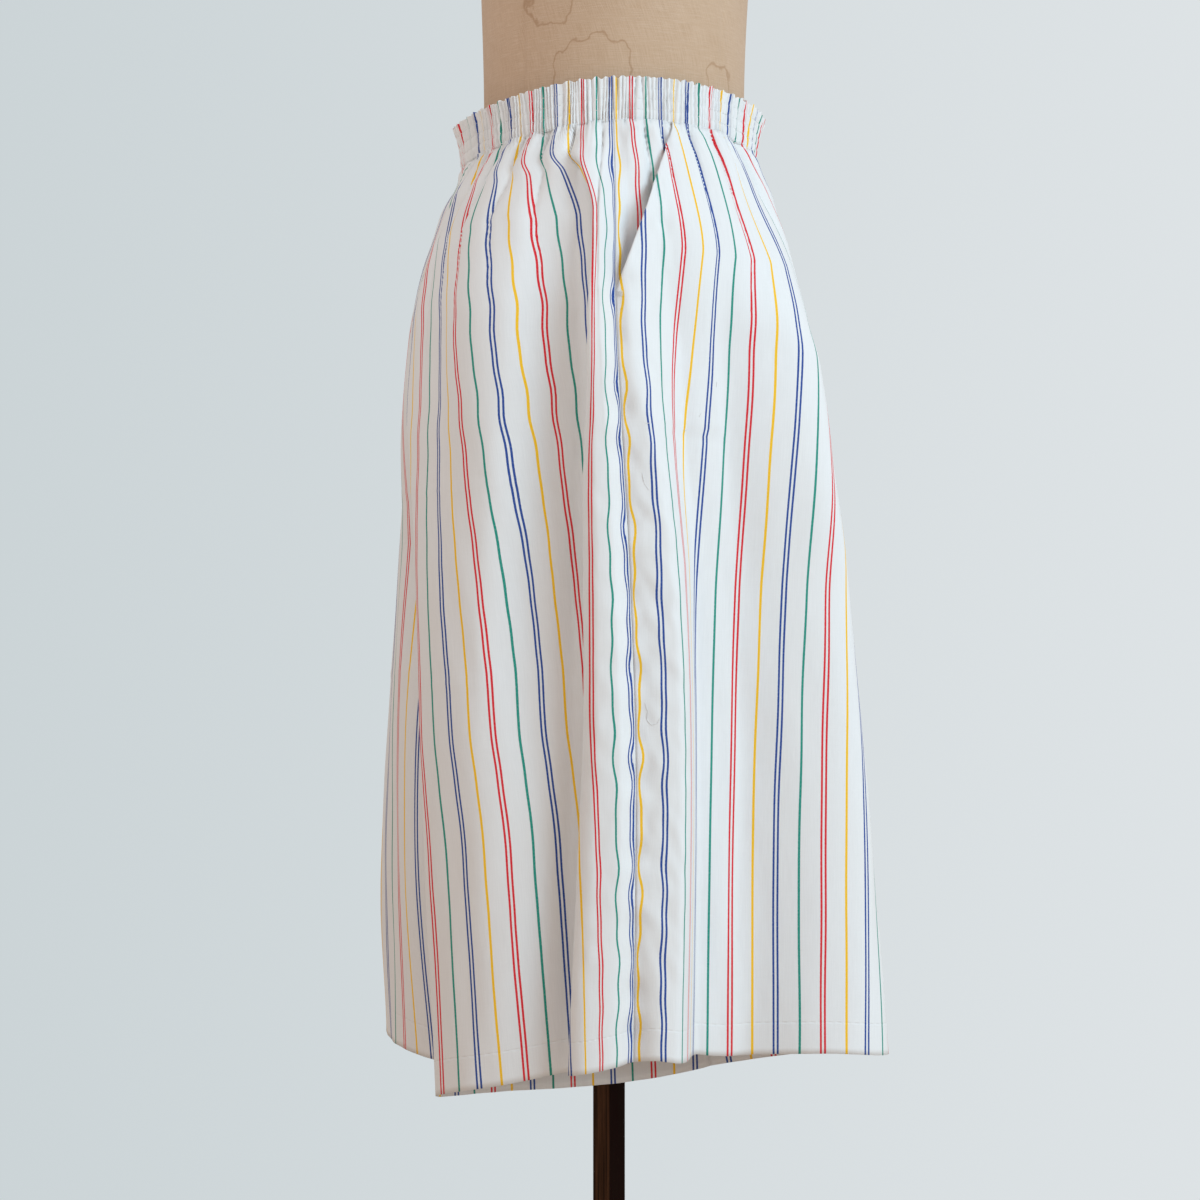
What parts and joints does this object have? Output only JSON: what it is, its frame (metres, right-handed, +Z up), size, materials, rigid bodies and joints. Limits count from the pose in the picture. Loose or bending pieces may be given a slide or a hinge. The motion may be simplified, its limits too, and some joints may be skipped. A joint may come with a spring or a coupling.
{
  "type": "culotte shorts on a limbless dress form stand",
  "caption": "Striped cotton culotte shorts with an elastic shirred waist and slanted pockets, worn by a linen dress form on a pole stand",
  "frame": {"origin": "on the floor under the middle of the pole, at the underside of the base", "axes": "+Z up, -Y is the garment's front, +X is the wearer's left and -X the wearer's right"},
  "size_m": [0.3771, 0.3636, 1.5453],
  "materials": {
    "striped_cotton": "plain-weave white cotton with thin coloured stripes, matte",
    "form_linen": "old beige linen, matte, with faint water marks",
    "dark_wood": "dark brown stained wood, satin"
  },
  "bodies": {
    "root": {"front_right": "striped_cotton", "front_left": "striped_cotton", "back_right": "striped_cotton", "back_left": "striped_cotton", "pocket_facing_right": "striped_cotton", "pocket_facing_left": "striped_cotton", "waist_casing": "striped_cotton", "form_torso": "form_linen", "form_neck_cap": "dark_wood", "form_bottom_board": "dark_wood", "stand_pole": "dark_wood", "stand_base": "dark_wood"}
  },
  "joints": []
}
